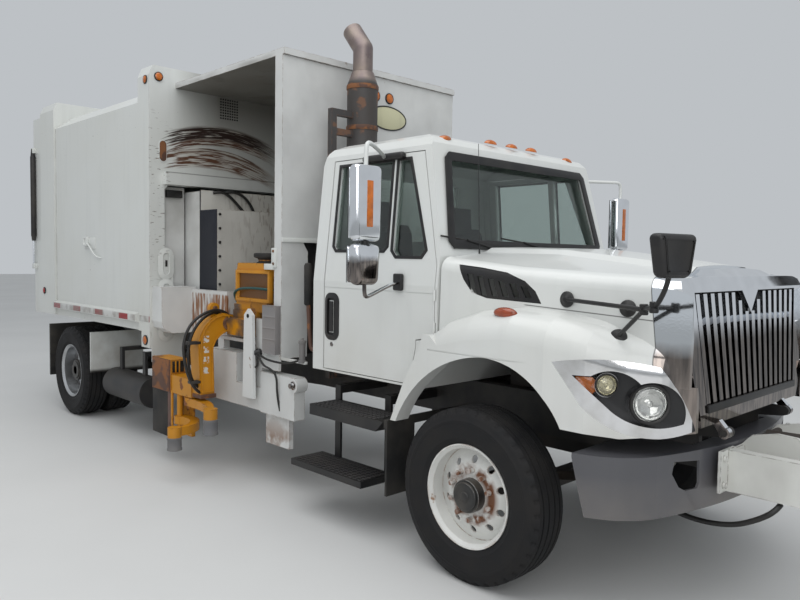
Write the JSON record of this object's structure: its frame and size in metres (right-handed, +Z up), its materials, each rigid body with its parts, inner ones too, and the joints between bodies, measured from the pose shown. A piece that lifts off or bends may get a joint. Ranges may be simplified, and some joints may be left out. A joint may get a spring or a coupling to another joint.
{
  "type": "side-loading refuse truck",
  "caption": "Two-axle refuse truck with a hood ahead of its cab, a hopper and packer behind the cab, a side arm with gripping fingers, and a tall closed tipping body.",
  "frame": {"origin": "on the ground, under the middle of the truck's overall length and width", "axes": "+X forward along the truck, +Y to its left, +Z up"},
  "size_m": [8.8999, 3.13, 3.7556],
  "materials": {
    "frame_black": "satin",
    "axle_black": "matte",
    "cab_white": "gloss",
    "body_white": "satin",
    "hopper_grey": "worn",
    "packer_white": "worn",
    "gripper_yellow": "worn",
    "bumper_grey": "satin",
    "hitch_white": "worn",
    "glass": "tinted",
    "trim_black": "matte",
    "chrome": "polished",
    "lamp": "clear",
    "seat_grey": "woven",
    "tyre": "matte",
    "wheel_white": "satin",
    "wheel_silver": "satin",
    "rubber": "matte",
    "tank_grey": "satin",
    "exhaust_steel": "heat tinted"
  },
  "bodies": {
    "chassis": {"frame_rails": "frame_black", "crossmembers": "frame_black", "front_axle": "axle_black", "rear_axle": "axle_black", "leaf_springs": "axle_black", "engine": "axle_black", "driveshaft": "axle_black", "radiator": "trim_black", "bumper": "bumper_grey", "front_hitch": "hitch_white", "hitch_cylinder": "axle_black", "cab_shell": "cab_white", "cab_glass": "glass", "dashboard": "trim_black", "steering_wheel": "trim_black", "seats": "seat_grey", "cab_steps": "trim_black", "front_mudflaps": "rubber", "fuel_tank": "tank_grey", "air_tank": "tank_grey", "exhaust_stack": "exhaust_steel", "rear_mudguards": "rubber"},
    "tilt_hood": {"hood": "cab_white", "hood_vents": "trim_black", "grille_surround": "chrome", "grille_bars": "chrome", "headlamps": "lamp", "hood_mirrors": "trim_black"},
    "right_door": {"door_right": "cab_white", "door_glass_right": "glass", "door_mirror_right": "chrome"},
    "left_door": {"door_left": "cab_white", "door_glass_left": "glass", "door_mirror_left": "chrome"},
    "right_knuckle": {"knuckle_right": "axle_black"},
    "left_knuckle": {"knuckle_left": "axle_black"},
    "steering_rod": {"tie_rod": "axle_black"},
    "front_wheel_right": {"front_tyre_right": "tyre", "front_rim_right": "wheel_white"},
    "front_wheel_left": {"front_tyre_left": "tyre", "front_rim_left": "wheel_white"},
    "rear_wheels_right": {"rear_tyres_right": "tyre", "rear_rims_right": "wheel_silver"},
    "rear_wheels_left": {"rear_tyres_left": "tyre", "rear_rims_left": "wheel_silver"},
    "refuse_body": {"body_shell": "body_white", "hopper": "hopper_grey"},
    "rear_door": {"tailgate": "body_white"},
    "packing_blade": {"packer": "packer_white"},
    "reach_boom": {"boom": "gripper_yellow"},
    "swing_arm": {"lift_arm": "gripper_yellow", "gripper_head": "gripper_yellow"},
    "upper_finger": {"finger_upper": "gripper_yellow"},
    "lower_finger": {"finger_lower": "gripper_yellow"}
  },
  "joints": [
    {"name": "hood_tilt", "type": "hinge", "parent": "chassis", "child": "tilt_hood", "pos_m": [3.81, 0, 0.98], "axis": [0, 1, 0], "range_deg": [0, 65]},
    {"name": "right_door_hinge", "type": "hinge", "parent": "chassis", "child": "right_door", "pos_m": [2.225, -1, 1.6], "axis": [0, 0, 1], "range_deg": [0, 70]},
    {"name": "left_door_hinge", "type": "hinge", "parent": "chassis", "child": "left_door", "pos_m": [2.225, 1, 1.6], "axis": [0, 0, -1], "range_deg": [0, 70]},
    {"name": "steering_left", "type": "hinge", "parent": "chassis", "child": "left_knuckle", "pos_m": [2.65, 0.88, 0.508], "axis": [0, 0, 1], "range_deg": [-35, 35]},
    {"name": "steering_right", "type": "hinge", "parent": "chassis", "child": "right_knuckle", "pos_m": [2.65, -0.88, 0.508], "axis": [0, 0, 1], "range_deg": [-35, 35]},
    {"name": "steering_link", "type": "slide", "parent": "chassis", "child": "steering_rod", "axis": [0, 1, 0], "range_m": [-0.11, 0.11]},
    {"name": "front_right_spin", "type": "hinge", "parent": "right_knuckle", "child": "front_wheel_right", "pos_m": [2.65, -1.045, 0.508], "axis": [0, 1, 0], "continuous": true},
    {"name": "front_left_spin", "type": "hinge", "parent": "left_knuckle", "child": "front_wheel_left", "pos_m": [2.65, 1.045, 0.508], "axis": [0, 1, 0], "continuous": true},
    {"name": "rear_right_spin", "type": "hinge", "parent": "chassis", "child": "rear_wheels_right", "pos_m": [-3.3, -0.91, 0.508], "axis": [0, 1, 0], "continuous": true},
    {"name": "rear_left_spin", "type": "hinge", "parent": "chassis", "child": "rear_wheels_left", "pos_m": [-3.3, 0.91, 0.508], "axis": [0, 1, 0], "continuous": true},
    {"name": "body_tip", "type": "hinge", "parent": "chassis", "child": "refuse_body", "pos_m": [-4.1, 0, 1.07], "axis": [0, -1, 0], "range_deg": [0, 45]},
    {"name": "tailgate_hinge", "type": "hinge", "parent": "refuse_body", "child": "rear_door", "pos_m": [-4.15, 0, 3.545], "axis": [0, 1, 0], "range_deg": [0, 85]},
    {"name": "packer_slide", "type": "slide", "parent": "refuse_body", "child": "packing_blade", "axis": [-1, 0, 0], "range_m": [-0.24, 1.3]},
    {"name": "boom_slide", "type": "slide", "parent": "refuse_body", "child": "reach_boom", "axis": [0, -1, 0], "range_m": [0, 1.2]},
    {"name": "arm_lift", "type": "hinge", "parent": "reach_boom", "child": "swing_arm", "pos_m": [-0.25, -1, 1.28], "axis": [-1, 0, 0], "range_deg": [0, 150]},
    {"name": "upper_finger_pivot", "type": "hinge", "parent": "swing_arm", "child": "upper_finger", "pos_m": [-0.41, -1.245, 0.6], "axis": [0, 0, -1], "range_deg": [0, 70]},
    {"name": "lower_finger_pivot", "type": "hinge", "parent": "swing_arm", "child": "lower_finger", "pos_m": [-0.59, -1.245, 0.41], "axis": [0, 0, -1], "range_deg": [0, 110]}
  ],
  "couplings": [
    {"joint": "steering_right", "follows": "steering_left", "ratio": 1},
    {"joint": "steering_link", "follows": "steering_left", "m_per_rad": -0.169}
  ]
}
